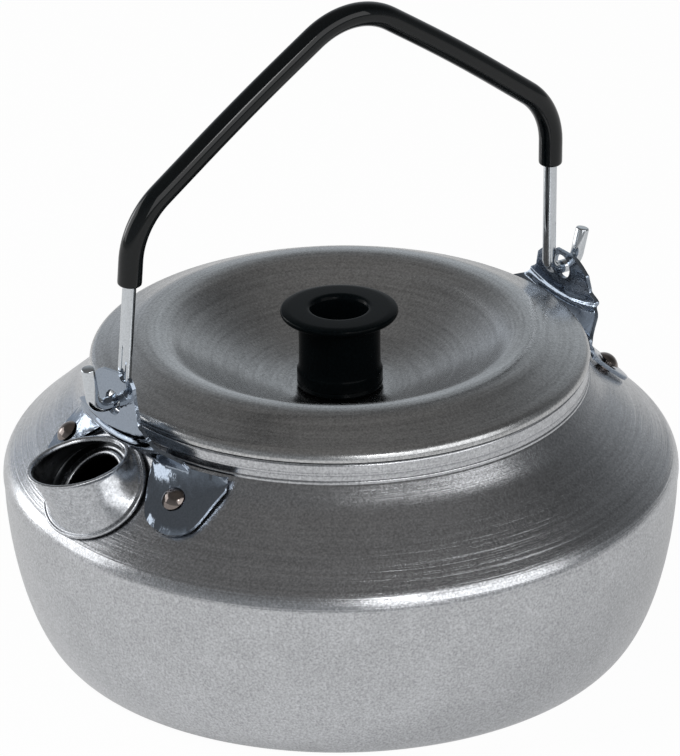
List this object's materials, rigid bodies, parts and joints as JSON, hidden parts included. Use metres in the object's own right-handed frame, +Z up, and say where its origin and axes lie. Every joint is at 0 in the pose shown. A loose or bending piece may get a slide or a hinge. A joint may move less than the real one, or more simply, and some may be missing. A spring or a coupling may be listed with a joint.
{
  "type": "camping kettle",
  "caption": "Low round aluminium camping kettle with a short spout, a lift-off lid with a black knob, and a wire bail with a black sleeve that swings down on either side.",
  "frame": {"origin": "centre of the flat base, on the surface that the kettle stands on", "axes": "+Z up along the axis of the body and lid; the spout points along -X; +X runs from the spout side to the opposite bracket"},
  "size_m": [0.1548, 0.15, 0.1486],
  "materials": {
    "spun_aluminium": "spun and brushed round the axis, satin",
    "plated_steel": "bright plated",
    "rivet_metal": "dull, slightly bronze",
    "black_plastic": "moulded, semi-gloss"
  },
  "bodies": {
    "kettle": {"body_shell": "spun_aluminium", "spout": "spun_aluminium", "front_bracket": "plated_steel", "rear_bracket": "plated_steel", "rivet_front_left": "rivet_metal", "rivet_front_right": "rivet_metal", "rivet_rear_left": "rivet_metal", "rivet_rear_right": "rivet_metal"},
    "bail": {"bail_wire": "plated_steel", "bail_sleeve": "black_plastic"},
    "lid": {"lid": "spun_aluminium", "knob": "black_plastic", "knob_screw": "plated_steel", "knob_washer": "plated_steel", "knob_nut": "plated_steel"}
  },
  "joints": [
    {"name": "bail_swing", "type": "hinge", "parent": "kettle", "child": "bail", "pos_m": [0, -0.0009, 0.0696], "axis": [1, 0, 0], "range_deg": [-107.5, 101]},
    {"name": "lid_lift", "type": "slide", "parent": "kettle", "child": "lid", "axis": [0, 0, 1], "range_m": [0, 0.01]}
  ]
}
